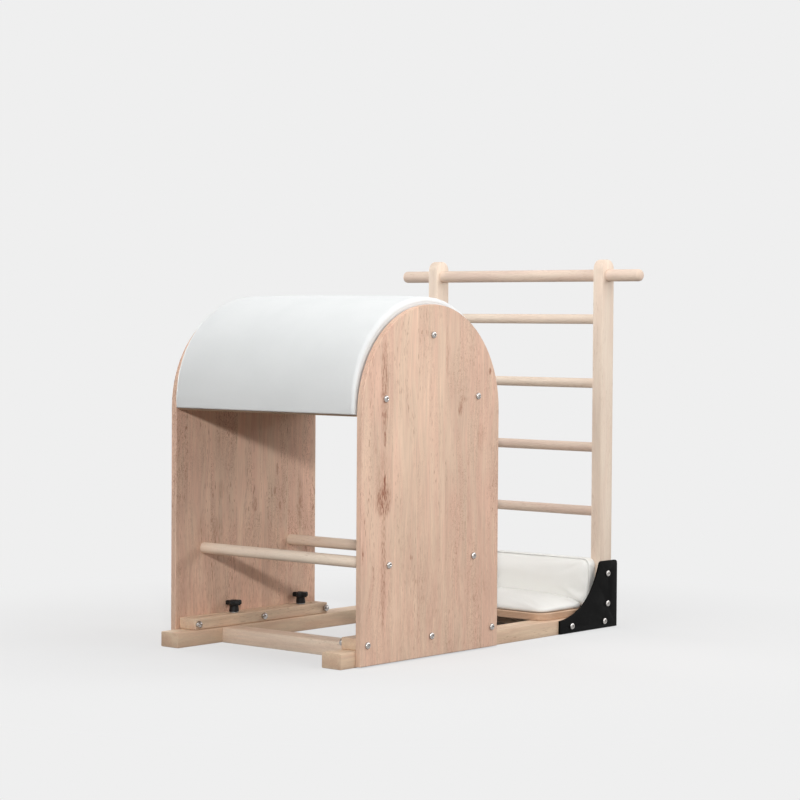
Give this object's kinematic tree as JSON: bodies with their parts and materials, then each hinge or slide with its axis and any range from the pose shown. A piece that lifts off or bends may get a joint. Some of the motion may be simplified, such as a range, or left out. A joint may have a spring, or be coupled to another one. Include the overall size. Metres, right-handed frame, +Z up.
{
  "type": "pilates ladder barrel",
  "caption": "Pilates ladder barrel: a padded half barrel between wooden side panels, sliding on a wooden base toward a ladder with a padded foot seat, clamped by star knobs.",
  "frame": {"origin": "on the floor, under the middle of the box around the whole object", "axes": "+X across the object along the rungs, +Y from the barrel to the ladder, +Z up"},
  "size_m": [0.862, 1.172, 1.04],
  "materials": {
    "panel_wood": "satin",
    "rail_wood": "satin",
    "ladder_wood": "satin",
    "plywood": "satin",
    "vinyl": "satin",
    "black_steel": "satin",
    "bolt_nickel": "gloss",
    "knob_plastic": "satin",
    "washer_zinc": "satin"
  },
  "bodies": {
    "base": {"back_board": "plywood", "back_pad": "vinyl", "base_rail_left": "rail_wood", "base_rail_right": "rail_wood", "bracket_bolt_left_post_high": "bolt_nickel", "bracket_bolt_left_post_low": "bolt_nickel", "bracket_bolt_left_rail_front": "bolt_nickel", "bracket_bolt_left_rail_rear": "bolt_nickel", "bracket_bolt_right_post_high": "bolt_nickel", "bracket_bolt_right_post_low": "bolt_nickel", "bracket_bolt_right_rail_front": "bolt_nickel", "bracket_bolt_right_rail_rear": "bolt_nickel", "corner_bracket_left": "black_steel", "corner_bracket_right": "black_steel", "front_crossbar": "rail_wood", "ladder_post_left": "ladder_wood", "ladder_post_right": "ladder_wood", "ladder_rung_1": "ladder_wood", "ladder_rung_2": "ladder_wood", "ladder_rung_3": "ladder_wood", "ladder_rung_4": "ladder_wood", "ladder_top_bar": "ladder_wood", "rear_crossbar": "rail_wood", "seat_board": "plywood", "seat_pad": "vinyl"},
    "barrel": {"arch_rib_left": "plywood", "arch_rib_middle": "plywood", "arch_rib_right": "plywood", "barrel_pad": "vinyl", "barrel_shell": "plywood", "front_stretcher": "ladder_wood", "panel_bolt_left_rib_front": "bolt_nickel", "panel_bolt_left_rib_rear": "bolt_nickel", "panel_bolt_left_rib_top": "bolt_nickel", "panel_bolt_left_slide_bar_front": "bolt_nickel", "panel_bolt_left_slide_bar_middle": "bolt_nickel", "panel_bolt_left_slide_bar_rear": "bolt_nickel", "panel_bolt_left_stretcher_front": "bolt_nickel", "panel_bolt_left_stretcher_rear": "bolt_nickel", "panel_bolt_right_rib_front": "bolt_nickel", "panel_bolt_right_rib_rear": "bolt_nickel", "panel_bolt_right_rib_top": "bolt_nickel", "panel_bolt_right_slide_bar_front": "bolt_nickel", "panel_bolt_right_slide_bar_middle": "bolt_nickel", "panel_bolt_right_slide_bar_rear": "bolt_nickel", "panel_bolt_right_stretcher_front": "bolt_nickel", "panel_bolt_right_stretcher_rear": "bolt_nickel", "rear_stretcher": "ladder_wood", "side_panel_left": "panel_wood", "side_panel_right": "panel_wood", "slide_bar_left": "rail_wood", "slide_bar_right": "rail_wood"},
    "washer_front_left": {"knob_washer_front_left": "washer_zinc"},
    "knob_front_left": {"star_knob_front_left": "knob_plastic"},
    "washer_rear_left": {"knob_washer_rear_left": "washer_zinc"},
    "knob_rear_left": {"star_knob_rear_left": "knob_plastic"},
    "washer_front_right": {"knob_washer_front_right": "washer_zinc"},
    "knob_front_right": {"star_knob_front_right": "knob_plastic"},
    "washer_rear_right": {"knob_washer_rear_right": "washer_zinc"},
    "knob_rear_right": {"star_knob_rear_right": "knob_plastic"}
  },
  "joints": [
    {"name": "barrel_slide", "type": "slide", "parent": "base", "child": "barrel", "axis": [0, 1, 0], "range_m": [-0.0408, 0.1392]},
    {"name": "lift_front_left", "type": "slide", "parent": "base", "child": "washer_front_left", "axis": [0, 0, 1], "range_m": [0, 0.0025]},
    {"name": "turn_front_left", "type": "hinge", "parent": "washer_front_left", "child": "knob_front_left", "pos_m": [-0.2882, -0.3413, 0.0727], "axis": [0, 0, 1], "range_deg": [0, 720]},
    {"name": "lift_rear_left", "type": "slide", "parent": "base", "child": "washer_rear_left", "axis": [0, 0, 1], "range_m": [0, 0.0025]},
    {"name": "turn_rear_left", "type": "hinge", "parent": "washer_rear_left", "child": "knob_rear_left", "pos_m": [-0.2882, -0.0753, 0.0727], "axis": [0, 0, 1], "range_deg": [0, 720]},
    {"name": "lift_front_right", "type": "slide", "parent": "base", "child": "washer_front_right", "axis": [0, 0, 1], "range_m": [0, 0.0025]},
    {"name": "turn_front_right", "type": "hinge", "parent": "washer_front_right", "child": "knob_front_right", "pos_m": [0.2882, -0.3413, 0.0727], "axis": [0, 0, 1], "range_deg": [0, 720]},
    {"name": "lift_rear_right", "type": "slide", "parent": "base", "child": "washer_rear_right", "axis": [0, 0, 1], "range_m": [0, 0.0025]},
    {"name": "turn_rear_right", "type": "hinge", "parent": "washer_rear_right", "child": "knob_rear_right", "pos_m": [0.2882, -0.0753, 0.0727], "axis": [0, 0, 1], "range_deg": [0, 720]}
  ],
  "couplings": [
    {"joint": "lift_front_left", "follows": "turn_front_left", "m_per_rad": 0.00019894},
    {"joint": "lift_rear_left", "follows": "turn_rear_left", "m_per_rad": 0.00019894},
    {"joint": "lift_front_right", "follows": "turn_front_right", "m_per_rad": 0.00019894},
    {"joint": "lift_rear_right", "follows": "turn_rear_right", "m_per_rad": 0.00019894}
  ]
}
